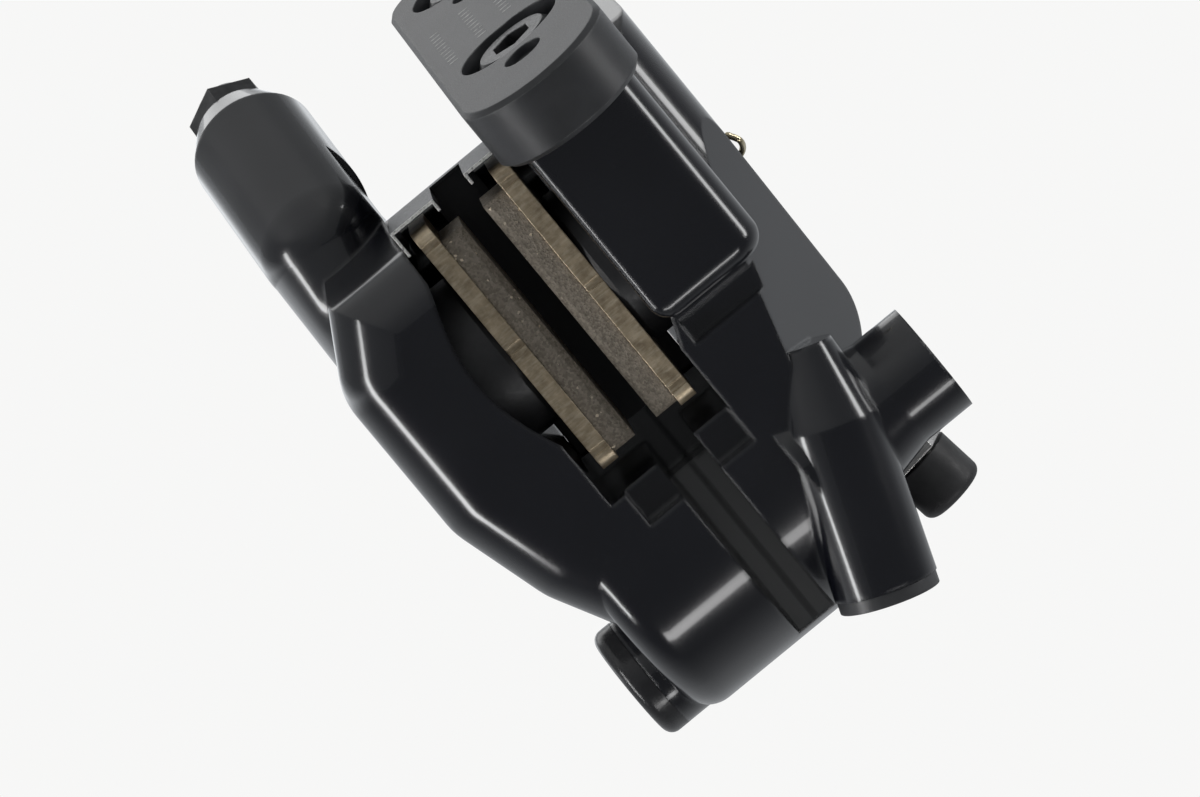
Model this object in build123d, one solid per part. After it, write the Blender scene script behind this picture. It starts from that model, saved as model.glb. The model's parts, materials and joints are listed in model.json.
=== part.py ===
"""Hydraulic flat-mount disc brake caliper for a rear wheel, bolted to its adapter plate.

Frame: millimetres. The origin is on the adapter plate's frame-side face, midway between its
two frame holes. +X runs along the chainstay away from the axle, +Y is outboard, and +Z points
away from the chainstay into the caliper.

The caliper itself is drawn in its own frame: x along the wheel's radius, outwards, y outboard
from the rotor plane and z along the rotor's rim, away from the chainstay. Its origin is the
piston axis. CALIPER places it on the plate, leaned by the angle of that radius.
"""
import os
from math import cos, radians, sin, tan

from build123d import *

# Adapter plate
plate_near = 28.0
plate_far = 34.5
plate_width = 16.4
plate_thickness = 6.7
plate_corner = 5.0
plate_edge = 0.5
frame_hole_spacing = 34.0
frame_thread_radius = 2.1
bolt_pair_shift = 8.5
counterbore_width = 11.4
counterbore_length = 9.8
counterbore_depth = 4.0
bolt_slot_width = 7.2

# Caliper bolts, with washers and stopper rings
bolt_radius = 2.5
bolt_clearance = 0.05
bolt_head_radius = 4.2
bolt_head_height = 2.8
bolt_head_edge = 0.5
bolt_socket_width = 4.0
bolt_socket_depth = 2.0
bolt_grip_in_foot = 8.0
bolt_drill_spare = 0.6
washer_radius = 4.7
washer_thickness = 0.8
washer_bore_clearance = 0.3
stopper_thickness = 0.8

# Where the caliper sits
rotor_offset = 13.7
piston_ahead = 0.4
piston_above_foot = 19.4
radius_lean = 11.0

# Body halves, in the caliper's frame
seam = 0.8
slot_wall = 7.4
body_near = 11.5
inboard_reach = 21.2
inboard_top_drop = 4.3
inboard_shoulder = 15.2
inboard_shoulder_low = 16.7
inboard_shoulder_rise = 6.5
inboard_waist = 10.5
inboard_hip = 18.2
inboard_hip_drop = 21.0
inboard_heel_inset = 8.8
inboard_heel_drop = 32.0
near_face_round = 6.6
far_face_round = 3.0
inboard_shoulder_round = 3.0
inboard_side_round = 8.0
inboard_hip_round = 9.0
near_round = 6.0
far_round = 5.0
facet_width = 6.0

# Bridge that joins the halves past the rotor
bridge_top = 21.4
bridge_bottom = 42.0
heel_round = 17.0
bridge_round = 7.0
bridge_inset = 6.7
bridge_end_round = 3.5

# Rotor, pad bay and rotor slot
rotor_radius = 80.0
rotor_edge = 8.0
rotor_clearance = 1.5
slot_half_width = 2.3
slot_middle = 0.8
bay_bottom = 17.5
rim_wall = 4.0
window_bottom = 12.6
step_half_width = 6.5
step_depth = 3.2

# Outboard half
outboard_reach = 24.0
block_near = 19.0
block_left = 7.6
block_right = 20.6
block_bottom = 6.8
block_round = 3.6
block_low_round = 2.4
block_left_round = 1.0
outboard_waist = 20.0
outboard_waist_round = 9.0
outboard_heel = 13.5
outboard_heel_drop = 33.0
lower_face_y = 16.7
lower_face_z = 10.8
lower_face_low_y = 12.0
lower_face_low_z = 27.4
pocket_top = 7.9
pocket_bottom = 10.5
pocket_left = 8.9
pocket_right = 19.6
pocket_depth = 1.2
foot_radius = 7.4
foot_depth = 13.0

# Side boss and its plug
side_boss_radius = 6.0
side_boss_x = -4.5
side_boss_z = 27.2
side_boss_start = 9.0
side_boss_proud = 2.0
side_boss_root = 8.6
side_boss_flare_end = 20.5
side_plug_radius = 3.6
side_plug_length = 7.0
side_plug_recess = 0.6
side_plug_socket = 4.0
side_plug_socket_depth = 3.0

# Lower boss and its plug
low_boss_radius = 5.25
low_boss_x = -8.6
low_boss_end_y = 8.2
low_boss_end_z = 41.0
low_boss_length = 17.0
low_boss_root_length = 8.0
low_boss_root_radius = 2.9
low_boss_lean = 20.0
low_boss_relief = 0.5
low_plug_thickness = 1.3
low_plug_inset = 0.15
low_plug_stem_radius = 3.2
low_plug_stem = 6.0

# Piston, bore and seal
piston_radius = 9.0
piston_clearance = 0.05
piston_length = 10.4
piston_wall = 2.0
piston_cup = 7.5
piston_edge = 0.5
bore_floor = 17.6
bore_mouth_depth = 2.6
bore_mouth_radius = 15.2
bore_mouth_floor_radius = 11.3
seal_section = 1.9
seal_from_mouth = 4.6
seal_depth = 1.2
seal_nip = 0.04
relief_depth = 0.5
relief_width = 1.2

# Brake pads
pad_near = 8.5
pad_far = 8.0
pad_half_length = 14.8
pad_plate_thickness = 1.9
pad_plate_back = 5.85
lining_thickness = 2.6
lining_inset = 0.5
lining_half_length = 12.4
lining_low_length = 14.2
lining_face_bevel = 0.7
tab_drop = 2.0
tab_groove = 0.35
tab_groove_width = 0.8
pad_corner = 1.4
ear_half_length = 4.2
ear_beyond_axle = 3.0
ear_round = 2.6
pad_hole_clearance = 0.06

# Pad axle and its wire clip
axle_radius = 1.6
axle_seal_wall = 0.6
axle_far_wall = 1.0
axle_head_radius = 2.8
axle_head_length = 1.6
axle_head_seat = 18.2
axle_slot_width = 0.8
axle_slot_depth = 0.7
axle_end_depth = 1.1
axle_groove_radius = 1.2
axle_groove_width = 0.8
axle_groove_from_end = 0.5
axle_fit = 0.04
notch_half_height = 2.5
notch_depth = 2.7
notch_near = 4.0
clip_wire = 0.35
clip_gap = 0.02
clip_leg = 6.0
clip_leg_lift = 1.0

# Pad spring
spring_thickness = 0.3
spring_above_pads = 1.1
spring_near = 8.7
spring_far = 11.4
spring_slot_end = 9.0
spring_wing = 2.9
spring_wing_gap = 0.15
spring_gap_half = 1.9
spring_flange = 1.0
strip_axle_gap = 1.0
strip_half_width = 2.6
strip_end = 14.6

# Body bolts and the cap over the lower bolt's head
body_bolt_radius = 2.8
body_bolt_x = 6.5
body_bolt_z = 35.3
body_bolt_head_radius = 4.2
body_bolt_head_length = 3.0
body_bolt_thread_end = 12.0
upper_bolt_x = 15.4
upper_bolt_z = -10.4
upper_bolt_boss = 5.6
body_bolt_socket = 4.6
body_bolt_socket_depth = 2.2
body_bolt_clearance = 0.06
collar_radius = 6.4
collar_root = 9.0
collar_proud = 1.3
cap_thickness = 2.5
cap_round = 1.2
cap_stem_length = 2.2
cap_stem_fit = 0.03
upper_head_recess = 0.6

# Fluid crossover and its seal
crossover_radius = 1.0
crossover_x = 9.0
crossover_z = 24.2
crossover_end = 15.6
crossover_seal_radius = 1.9
crossover_seal_wire = 0.5
crossover_seal_squeeze = 0.05
riser_radius = 0.7
riser_x = 7.0
riser_inset = 0.85

# Hose port
port_start_x = 13.5
port_start_z = 9.6
port_end_x = 34.3
port_end_z = 0.2
port_y = 27.2
port_radius = 6.7
port_taper_length = 4.0
port_mouth_radius = 5.0
port_root_radius = 4.0
port_thread_radius = 4.0
port_thread_depth = 12.0
port_drill_radius = 1.1
inlet_x = 4.0
inlet_y = 16.4
inlet_z = 8.0
nut_hex = 8.0
nut_hex_length = 3.2
nut_nose_radius = 3.3
nut_nose_length = 1.2
nut_thread_length = 7.0
nut_thread_fit = 0.03
nut_bore_radius = 2.55
olive_length = 4.0
olive_radius = 3.3

# Bleed nipple, boss and cap
bleed_x = 10.5
bleed_y = 16.6
bleed_z = 22.0
bleed_lean = 8.0
bleed_boss_radius = 5.0
bleed_boss_length = 11.6
bleed_thread_radius = 2.9
bleed_thread_length = 6.5
bleed_thread_fit = 0.04
bleed_seat_length = 1.5
bleed_hex = 7.0
bleed_hex_length = 2.4
bleed_hex_lift = 0.3
bleed_stem_radius = 2.2
bleed_stem_length = 4.6
bleed_bore_radius = 0.8
bleed_bore_length = 9.0
bleed_cap_radius = 3.7
bleed_cap_fit = 0.05
bleed_cap_roof = 1.1
bleed_cap_lift = 0.3
bleed_cap_round = 1.0
bleed_drill_radius = 0.8

# Overrun of every cut
over = 1.0
reach = 90.0

# Places that follow from those sizes
plate_half = plate_width / 2
bolt_xs = [-frame_hole_spacing / 2 + bolt_pair_shift, frame_hole_spacing / 2 + bolt_pair_shift]
piston_height = plate_thickness + piston_above_foot
CALIPER = Location((piston_ahead, -rotor_offset, piston_height), (0, -radius_lean, 0))
lean = radians(radius_lean)
axle_x = piston_radius + seal_depth + axle_seal_wall + axle_radius
axle_end = outboard_reach - axle_end_depth
notch_floor = outboard_reach - notch_depth
ear_end = axle_x + ear_beyond_axle
body_far = axle_x + axle_radius + axle_far_wall
rim_wall_x = body_far - rim_wall
strip_near = axle_x - axle_radius - strip_axle_gap - spring_thickness
inboard_heel = inboard_reach - inboard_heel_inset
bridge_inboard = inboard_reach - bridge_inset
side_boss_end = outboard_reach + side_boss_proud
collar_end = bridge_inboard + collar_proud
lining_back = pad_plate_back - pad_plate_thickness
lining_face = lining_back - lining_thickness
lower_bolt_seat = collar_end - cap_stem_length - body_bolt_head_length
upper_bolt_seat = inboard_hip - upper_head_recess - body_bolt_head_length


def block(x0, x1, y0, y1, z0, z1):
    """A box between two corners."""
    return Pos((x0 + x1) / 2, (y0 + y1) / 2, (z0 + z1) / 2) * Box(x1 - x0, y1 - y0, z1 - z0)


def rod_y(radius, y0, y1, x=0, z=0):
    """A rod along Y."""
    return Pos(x, (y0 + y1) / 2, z) * Rot(90, 0, 0) * Cylinder(radius, abs(y1 - y0))


def rod_z(radius, z0, z1, x=0, y=0):
    """A rod along Z."""
    return Pos(x, y, (z0 + z1) / 2) * Cylinder(radius, z1 - z0)


def cone_y(radius0, radius1, y0, y1, x=0, z=0):
    """A cone along Y, radius0 at y0 and radius1 at y1, with y1 beyond y0."""
    return Pos(x, (y0 + y1) / 2, z) * Rot(-90, 0, 0) * Cone(radius0, radius1, y1 - y0)


def rounded_face(points, rounds):
    """A flat outline with a corner radius for some of its points."""
    face = make_face(Polyline(*points, close=True))
    for (x, y), radius in rounds:
        corner = face.vertices().sort_by_distance((x, y, 0))[0]
        face = fillet(corner, radius)
    return face


def front_prism(points, x0, x1, rounds):
    """A prism along X whose outline is given in (y, z), with a corner radius for some points."""
    face = rounded_face(points, rounds)
    return extrude(Plane(origin=(x0, 0, 0), x_dir=(0, 1, 0), z_dir=(1, 0, 0)) * face, x1 - x0)


def side_prism(points, y0, y1, rounds):
    """A prism along Y whose outline is given in (x, z), with a corner radius for some points."""
    face = rounded_face(points, rounds)
    plane = Plane(origin=(0, y1, 0), x_dir=(1, 0, 0), z_dir=(0, -1, 0))
    return extrude(plane * face, y1 - y0)


def beyond(point, normal):
    """The space beyond a plane, as far as any cut here reaches."""
    return Plane(origin=point, z_dir=normal) * Pos(0, 0, reach / 2) * Box(reach, reach, reach)


def save(name, shape):
    """Write one node's solids."""
    export_step(shape, os.path.join("parts", name + ".step"))


def mirrored(shape):
    """The same shape on the other side of the rotor plane."""
    return mirror(shape, Plane.XZ)


# Adapter plate, bolts, washers and stopper rings, in the part's frame

def plate_outline():
    """The plate's plan: a full round at the near end and two rounded corners at the far end."""
    straight = block(-plate_near + plate_half, plate_far, -plate_half, plate_half, 0, plate_thickness)
    straight = fillet(straight.edges().filter_by(Axis.Z).group_by(Axis.X)[-1], plate_corner)
    return straight + rod_z(plate_half, 0, plate_thickness, -plate_near + plate_half, 0)


def adapter_plate():
    """The plate with counterbored slots for the caliper and threaded holes for the frame."""
    plate = plate_outline()
    rims = plate.edges().filter_by(Plane.XY)
    plate = chamfer(rims, plate_edge)
    for x in bolt_xs:
        seat = SlotOverall(counterbore_width, counterbore_length, rotation=90)
        plate -= Pos(x, 0, -over) * extrude(seat, counterbore_depth + over)
        hole = SlotOverall(bolt_slot_width, 2 * (bolt_radius + washer_bore_clearance), rotation=90)
        plate -= Pos(x, 0, -over) * extrude(hole, plate_thickness + 2 * over)
    for x in (-frame_hole_spacing / 2, frame_hole_spacing / 2):
        plate -= rod_z(frame_thread_radius, -over, plate_thickness + over, x, 0)
    return plate


def caliper_bolt(x):
    """One bolt from the plate's counterbore into the caliper's foot."""
    seat = counterbore_depth - washer_thickness
    head = rod_z(bolt_head_radius, seat - bolt_head_height, seat, x, 0)
    head = chamfer(head.edges().group_by(Axis.Z)[0], bolt_head_edge)
    socket = RegularPolygon(bolt_socket_width / 2, 6, major_radius=False)
    floor = seat - bolt_head_height + bolt_socket_depth
    head -= Pos(x, 0, floor - bolt_socket_depth - over) * extrude(socket, bolt_socket_depth + over)
    shank = rod_z(bolt_radius, seat, plate_thickness + bolt_grip_in_foot, x, 0)
    return head + shank


def bolt_washer(x):
    """The washer under one bolt head."""
    top = counterbore_depth
    ring = rod_z(washer_radius, top - washer_thickness, top, x, 0)
    return ring - rod_z(bolt_radius + washer_bore_clearance, -over, top + over, x, 0)


def stopper_ring(x):
    """The ring that keeps one bolt from falling out of the plate."""
    half_slot = bolt_radius + washer_bore_clearance
    z0 = plate_thickness - stopper_thickness
    ring = rod_z(half_slot, z0, plate_thickness, x, 0)
    return ring - rod_z(bolt_radius, z0 - over, plate_thickness + over, x, 0)


# Body halves, in the caliper's frame

def foot_plane_z(x):
    """The height in the caliper's frame of the plate's upper face, at a distance x."""
    return -(piston_above_foot / cos(lean)) - x * tan(lean)


def side_outline(drop):
    """The halves' side view: near face, leaned top, far face and bottom."""
    return [
        (-body_near, bridge_bottom),
        (-body_near, foot_plane_z(-body_near) + drop),
        (body_far, foot_plane_z(body_far) + drop),
        (body_far, bridge_bottom),
    ]


def rounded_side(drop, y0, y1):
    """The halves' side view as a prism, with its corners rounded."""
    points = side_outline(drop)
    radii = (heel_round, near_round, far_round, bridge_round)
    return side_prism(points, y0, y1, list(zip(points, radii)))


def side_rounded(lobe):
    """A lobe with rounds along the outer edges of its near and far faces."""
    for end, radius in ((0, near_face_round), (-1, far_face_round)):
        face = lobe.faces().sort_by(Axis.X)[end]
        outer = [edge for edge in face.edges() if abs(edge.center().Y) > slot_wall + over]
        lobe = fillet(outer, radius)
    return lobe


def bridge(y0, y1):
    """The bar past the rotor's rim that joins the halves."""
    return rounded_side(0, y0, y1) - block(-reach / 2, reach / 2, -reach / 2, reach / 2, -reach, bridge_top)


def inboard_bridge():
    """The bridge's inboard part, rounded along its end."""
    bar = bridge(-bridge_inboard, seam)
    end = bar.faces().sort_by(Axis.Y)[0]
    outer = [edge for edge in end.edges() if edge.center().Z > bridge_top + over]
    return fillet(outer, bridge_end_round)


def inboard_lobe():
    """The cylinder housing of the inboard half, with its bevels."""
    points = [
        (-slot_wall, -reach / 2),
        (-inboard_shoulder, -reach / 2),
        (-inboard_shoulder, -inboard_shoulder_low),
        (-inboard_reach, -inboard_shoulder_rise),
        (-inboard_reach, inboard_waist),
        (-inboard_hip, inboard_hip_drop),
        (-inboard_heel, inboard_heel_drop),
        (seam, inboard_heel_drop),
        (seam, window_bottom),
        (-slot_wall, window_bottom),
    ]
    rounds = [(points[2], inboard_shoulder_round), (points[3], inboard_side_round),
              (points[4], inboard_side_round), (points[5], inboard_hip_round)]
    lobe = side_rounded(front_prism(points, -body_near, body_far, rounds))
    lobe &= rounded_side(inboard_top_drop, -inboard_reach - over, seam + over)
    return lobe


def port_ends():
    """The hose port's axis in the part's frame: start, end and direction."""
    start = Vector(port_start_x, -port_y, port_start_z)
    end = Vector(port_end_x, -port_y, port_end_z)
    return start, end, (end - start).normalized()


def port_point(depth):
    """A point on the port's axis, by its depth below the port's mouth."""
    start, end, along = port_ends()
    return end - along * depth


def rod_between(radius, start, end):
    """A rod between two points."""
    span = end - start
    return extrude(Plane(origin=start, z_dir=span) * Circle(radius), span.length)


def cone_between(radius0, radius1, start, end):
    """A cone between two points."""
    span = end - start
    middle = start + span * 0.5
    return Plane(origin=middle, z_dir=span) * Cone(radius0, radius1, span.length)


def hose_port():
    """The boss for the hose, in the part's frame."""
    start, end, along = port_ends()
    shoulder = end - along * port_taper_length
    taper = cone_between(port_radius, port_mouth_radius, shoulder, end)
    inlet = (CALIPER * Location((inlet_x, -inlet_y, 0))).position
    root = cone_between(port_radius, port_root_radius, start, inlet)
    return rod_between(port_radius, start, shoulder) + taper + Pos(*start) * Sphere(port_radius) + root


def hose_port_bore():
    """The thread inside the hose port and the fluid drilling from it to the inboard cylinder."""
    bore = rod_between(port_thread_radius, port_point(port_thread_depth), port_point(-over))
    inlet = (CALIPER * Location((inlet_x, -inlet_y, -inlet_z))).position
    return bore + rod_between(port_drill_radius, port_point(port_thread_depth - over), inlet)


def bore_cut():
    """The outboard half's cylinder: mouth, bore and seal groove."""
    radius = piston_radius + piston_clearance
    cut = rod_y(radius, slot_wall - over, bore_floor)
    cut += cone_y(bore_mouth_radius, bore_mouth_floor_radius, slot_wall, slot_wall + bore_mouth_depth)
    groove_start = slot_wall + seal_from_mouth
    cut += rod_y(piston_radius + seal_depth, groove_start, groove_start + seal_section)
    return cut + rod_y(radius + relief_depth, bore_floor - relief_width, bore_floor)


def rotor_envelope():
    """The space that the rotor's rim needs."""
    radius = rotor_radius + rotor_clearance
    middle = rotor_edge - rotor_radius
    return rod_y(radius, slot_middle - slot_half_width, slot_middle + slot_half_width, middle, 0)


def pad_bay():
    """The space for both pads, open at the near and far faces, the rotor slot and its steps."""
    bay = block(-reach / 2, reach / 2, -slot_wall, slot_wall, -reach / 2, window_bottom)
    bay += block(-reach / 2, rim_wall_x, -slot_wall, slot_wall, 0, bay_bottom)
    bay += block(-reach / 2, rim_wall_x, slot_middle - slot_half_width, slot_middle + slot_half_width,
                 0, bridge_top)
    floor = -body_near + step_depth
    bay += block(-reach / 2, floor, slot_middle - step_half_width, slot_middle + step_half_width,
                 0, bridge_top)
    return bay + rotor_envelope()


def crossover_cuts():
    """The drilling through the bridge and the risers to both cylinders."""
    cut = rod_y(crossover_radius, -crossover_end, crossover_end, crossover_x, crossover_z)
    for side in (-1, 1):
        y = side * (crossover_end - riser_inset)
        cut += rod_between(riser_radius, Vector(riser_x, y, 0), Vector(crossover_x, y, crossover_z))
    return cut


def seal_groove():
    """The groove for the crossover seal in the outboard half's joint face."""
    outer = crossover_seal_radius + crossover_seal_wire
    inner = crossover_seal_radius - crossover_seal_wire
    depth = 2 * crossover_seal_wire - crossover_seal_squeeze
    groove = rod_y(outer, seam, seam + depth, crossover_x, crossover_z)
    return groove - rod_y(inner, seam - over, seam + depth + over, crossover_x, crossover_z)


def web(y0, y1):
    """The far post beside the chainstay that joins the halves."""
    return rod_y(upper_bolt_boss, y0, y1, upper_bolt_x, upper_bolt_z)


def bolt_drilling(x, z, seat):
    """The drilling for one body bolt whose head seats at y = -seat."""
    cut = rod_y(body_bolt_radius + body_bolt_clearance, -seat - over, seam, x, z)
    cut += rod_y(body_bolt_radius, seam, body_bolt_thread_end, x, z)
    return cut + rod_y(body_bolt_head_radius + body_bolt_clearance, -reach / 2, -seat, x, z)


def axle_cuts():
    """The drilling for the pad axle, its head seat and the notch for its clip."""
    cut = rod_y(axle_radius + axle_fit, -axle_head_seat - over, reach / 2, axle_x, 0)
    cut += rod_y(axle_head_radius + axle_fit, -reach / 2, -axle_head_seat, axle_x, 0)
    return cut + block(notch_near, reach / 2, notch_floor, reach / 2, -notch_half_height, notch_half_height)


def body_cuts():
    """What both halves lose, in the caliper's frame."""
    cut = crossover_cuts() + axle_cuts()
    cut += bolt_drilling(body_bolt_x, body_bolt_z, lower_bolt_seat)
    return cut + bolt_drilling(upper_bolt_x, upper_bolt_z, upper_bolt_seat)


def inboard_body():
    """The inboard half, in the part's frame."""
    body = inboard_lobe() + inboard_bridge()
    body += rod_y(collar_radius, -collar_end, -collar_root, body_bolt_x, body_bolt_z)
    body -= pad_bay()
    body = CALIPER * body
    body += hose_port()
    bay_side = block(-reach, body_far, -slot_wall, reach, -reach / 2, window_bottom)
    body -= CALIPER * (mirrored(bore_cut()) + bay_side + body_cuts())
    body += CALIPER * (web(-inboard_hip, seam) - rotor_envelope() - body_cuts())
    return body - hose_port_bore()


def outboard_lobe():
    """The cylinder housing of the outboard half, with its bevels."""
    points = [
        (slot_wall, -reach / 2),
        (outboard_reach, -reach / 2),
        (outboard_reach, outboard_waist),
        (outboard_heel, outboard_heel_drop),
        (seam, outboard_heel_drop),
        (seam, window_bottom),
        (slot_wall, window_bottom),
    ]
    lobe = side_rounded(front_prism(points, -body_near, body_far, [(points[2], outboard_waist_round)]))
    lobe &= rounded_side(0, seam - over, outboard_reach + over)
    along_y = lower_face_y - lower_face_low_y
    along_z = lower_face_low_z - lower_face_z
    length = (along_y ** 2 + along_z ** 2) ** 0.5
    normal = (-facet_width, body_near * along_z / length, body_near * along_y / length)
    lobe -= beyond((-body_near, lower_face_y, lower_face_z), normal)
    return lobe


def near_block():
    """The upright block over the near caliper bolt, rounded down its outer edge."""
    bar = block(-block_near, 0, block_left, block_right, -reach / 2, block_bottom)
    edges = bar.edges().filter_by(Axis.Z).group_by(Axis.X)[0].sort_by(Axis.Y)
    bar = fillet(edges[-1], block_round)
    bar = fillet(bar.edges().filter_by(Axis.Z).group_by(Axis.X)[0].sort_by(Axis.Y)[0], block_left_round)
    low = bar.faces().sort_by(Axis.Z)[-1].edges()
    return fillet(low, block_low_round)


def low_boss_ends():
    """The lower boss's axis in the caliper's frame: start, end and direction."""
    tilt = radians(low_boss_lean)
    end = Vector(low_boss_x, low_boss_end_y, low_boss_end_z)
    along = Vector(0, -sin(tilt), cos(tilt))
    return end - along * low_boss_length, end, along


def bleed_direction():
    """The direction of the bleed nipple's axis, outwards."""
    tilt = radians(bleed_lean)
    return Vector(0, sin(tilt), cos(tilt))


def on_bleed_axis(height):
    """A point on the bleed nipple's axis, by its height over the start of the boss."""
    return Vector(bleed_x, bleed_y, bleed_z) + bleed_direction() * height


def bleed_cuts():
    """The nipple's thread, its seat and the drilling down to the cylinder."""
    top = bleed_boss_length
    cut = rod_between(bleed_thread_radius + bleed_thread_fit, on_bleed_axis(top - bleed_thread_length),
                      on_bleed_axis(top + over))
    seat = top - bleed_thread_length - bleed_seat_length
    cut += cone_between(bleed_drill_radius, bleed_thread_radius, on_bleed_axis(seat),
                        on_bleed_axis(seat + bleed_seat_length))
    start = Vector(riser_x, crossover_end - riser_inset, 0)
    return cut + rod_between(bleed_drill_radius, start, on_bleed_axis(seat + over))


def far_foot():
    """The foot over the far caliper bolt, in the part's frame."""
    x = bolt_xs[1]
    top = plate_thickness + foot_depth
    foot = rod_z(foot_radius, plate_thickness, top, x, 0)
    return foot + block(piston_ahead, x, -foot_radius, foot_radius, plate_thickness, top)


def outboard_body():
    """The outboard half, in the part's frame."""
    body = outboard_lobe() + bridge(seam, outboard_heel) + near_block()
    body += rod_y(side_boss_radius, side_boss_start, side_boss_end, side_boss_x, side_boss_z)
    body += cone_y(side_boss_root, side_boss_radius, side_boss_start, side_boss_flare_end,
                   side_boss_x, side_boss_z)
    start, end, along = low_boss_ends()
    body += rod_between(low_boss_radius, start, end)
    body += cone_between(low_boss_root_radius, low_boss_radius, start - along * low_boss_root_length, start)
    root = on_bleed_axis(-bleed_boss_radius)
    body += rod_between(bleed_boss_radius, root, on_bleed_axis(bleed_boss_length))
    body -= pad_bay()
    body -= seal_groove()
    body -= bleed_cuts()
    body -= block(-reach / 2, -body_near + pocket_depth, pocket_left, pocket_right, pocket_top, pocket_bottom)
    body -= rod_between(low_plug_stem_radius, end - along * low_plug_stem, end + along * over)
    body -= rod_between(low_boss_radius + low_boss_relief, end, end + along * low_boss_length)
    body -= rod_y(side_plug_radius, side_boss_end - side_plug_length, side_boss_end + over,
                  side_boss_x, side_boss_z)
    body = CALIPER * body
    body += far_foot()
    bay_side = block(-reach, body_far, -reach, slot_wall, -reach / 2, window_bottom)
    body -= CALIPER * (bore_cut() + bay_side + body_cuts())
    body += CALIPER * (web(seam, outboard_heel) - rotor_envelope() - body_cuts())
    body -= beyond((0, 0, plate_thickness), (0, 0, -1))
    depth = bolt_grip_in_foot + bolt_drill_spare
    for x in bolt_xs:
        body -= rod_z(bolt_radius + bolt_clearance, 0, plate_thickness + depth, x, 0)
    return body


# What fills the halves, in the caliper's frame

def piston():
    """The outboard piston, a cup open towards its pad."""
    start = pad_plate_back
    end = start + piston_length
    cup = rod_y(piston_radius, start, end)
    cup = chamfer(cup.edges().filter_by(GeomType.CIRCLE), piston_edge)
    return cup - rod_y(piston_radius - piston_wall, start - over, start + piston_cup)


def piston_seal():
    """The square ring in the outboard bore's groove."""
    start = slot_wall + seal_from_mouth
    ring = rod_y(piston_radius + seal_depth, start, start + seal_section)
    return ring - rod_y(piston_radius + seal_nip, start - over, start + seal_section + over)


def pad_face(near, far, low, high, corner):
    """The rectangle of a pad's layer in (x, z), with rounded corners."""
    return Pos((far - near) / 2, (low + high) / 2) * RectangleRounded(near + far, high - low, corner)


def pad_layer(sheet, y0, y1):
    """A pad's layer from a face drawn in (x, z)."""
    plane = Plane(origin=(0, y1, 0), x_dir=(1, 0, 0), z_dir=(0, -1, 0))
    return extrude(plane * sheet, y1 - y0)


def pad_plate():
    """The outboard pad's back plate with its ear and the small steps of its near edge."""
    sheet = pad_face(pad_near, pad_far, -pad_half_length, pad_half_length, pad_corner)
    width = ear_end - pad_far + ear_round
    sheet += Pos(ear_end - width / 2, 0) * RectangleRounded(width, 2 * ear_half_length, ear_round)
    plate = pad_layer(sheet, lining_back, pad_plate_back)
    for z in (-pad_half_length + tab_drop, 0, pad_half_length - tab_drop):
        half = tab_groove_width / 2
        plate -= block(-pad_near - over, -pad_near + tab_groove, 0, reach, z - half, z + half)
    return plate - rod_y(axle_radius + pad_hole_clearance, 0, reach, axle_x, 0)


def pad_lining():
    """The outboard pad's lining, bevelled along its near edge."""
    near = pad_near - lining_inset
    sheet = pad_face(near, pad_far - lining_inset, -lining_half_length, lining_low_length, pad_corner)
    lining = pad_layer(sheet, lining_face, lining_back)
    bevel = lining_face_bevel
    return lining - beyond((-near, lining_face + bevel, 0), (-1, -1, 0))


def axle():
    """The pad axle: a slotted head inboard, a groove for the clip outboard."""
    pin = rod_y(axle_radius, -axle_head_seat, axle_end, axle_x, 0)
    head_end = -axle_head_seat - axle_head_length
    pin += rod_y(axle_head_radius, head_end, -axle_head_seat, axle_x, 0)
    half = axle_slot_width / 2
    pin -= block(axle_x - axle_head_radius - over, axle_x + axle_head_radius + over,
                 head_end - over, head_end + axle_slot_depth, -half, half)
    groove_end = axle_end - axle_groove_from_end
    ring = rod_y(axle_radius + over, groove_end - axle_groove_width, groove_end, axle_x, 0)
    ring -= rod_y(axle_groove_radius, 0, reach, axle_x, 0)
    return pin - ring


def axle_clip():
    """The wire clip in the pad axle's groove, with one leg towards the near face."""
    y = axle_end - axle_groove_from_end - axle_groove_width / 2
    radius = axle_groove_radius + clip_wire + clip_gap
    ring = Pos(axle_x, y, 0) * Rot(90, 0, 0) * Torus(radius, clip_wire)
    start = Vector(axle_x - radius, y, 0)
    end = start + Vector(-clip_leg, clip_leg_lift, 0)
    return ring + rod_between(clip_wire, start, end) + Pos(*end) * Sphere(clip_wire)


def pad_spring():
    """The folded sheet over the pads: two wings, two slot flanges and the strip beyond the rotor."""
    low = -pad_half_length - spring_above_pads
    top = low - spring_thickness
    side = slot_wall - spring_wing_gap
    sheet = block(-spring_near, spring_far, -side, side, top, low)
    half = spring_gap_half
    sheet -= block(-spring_near - over, spring_slot_end, -half, half, top - over, low + over)
    for way in (-1, 1):
        outer = way * side
        inner = way * (side - spring_thickness)
        y0, y1 = sorted((outer, inner))
        sheet += block(-spring_near, pad_far, y0, y1, top, top + spring_wing)
        y0, y1 = sorted((way * spring_gap_half, way * (spring_gap_half + spring_thickness)))
        sheet += block(-spring_near, spring_slot_end, y0, y1, top, low + spring_flange)
    strip_far = strip_near + spring_thickness
    return sheet + block(strip_near, strip_far, -strip_half_width, strip_half_width, top, strip_end)


def body_bolt(x, z, seat):
    """One bolt that clamps the halves, its head seated at y = -seat."""
    head_end = -seat - body_bolt_head_length
    bolt = rod_y(body_bolt_radius, -seat, body_bolt_thread_end, x, z)
    bolt += rod_y(body_bolt_head_radius, head_end, -seat, x, z)
    plane = Plane(origin=(x, head_end, z), x_dir=(1, 0, 0), z_dir=(0, 1, 0))
    socket = plane * RegularPolygon(body_bolt_socket / 2, 6, major_radius=False)
    return bolt - extrude(socket, body_bolt_socket_depth)


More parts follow.
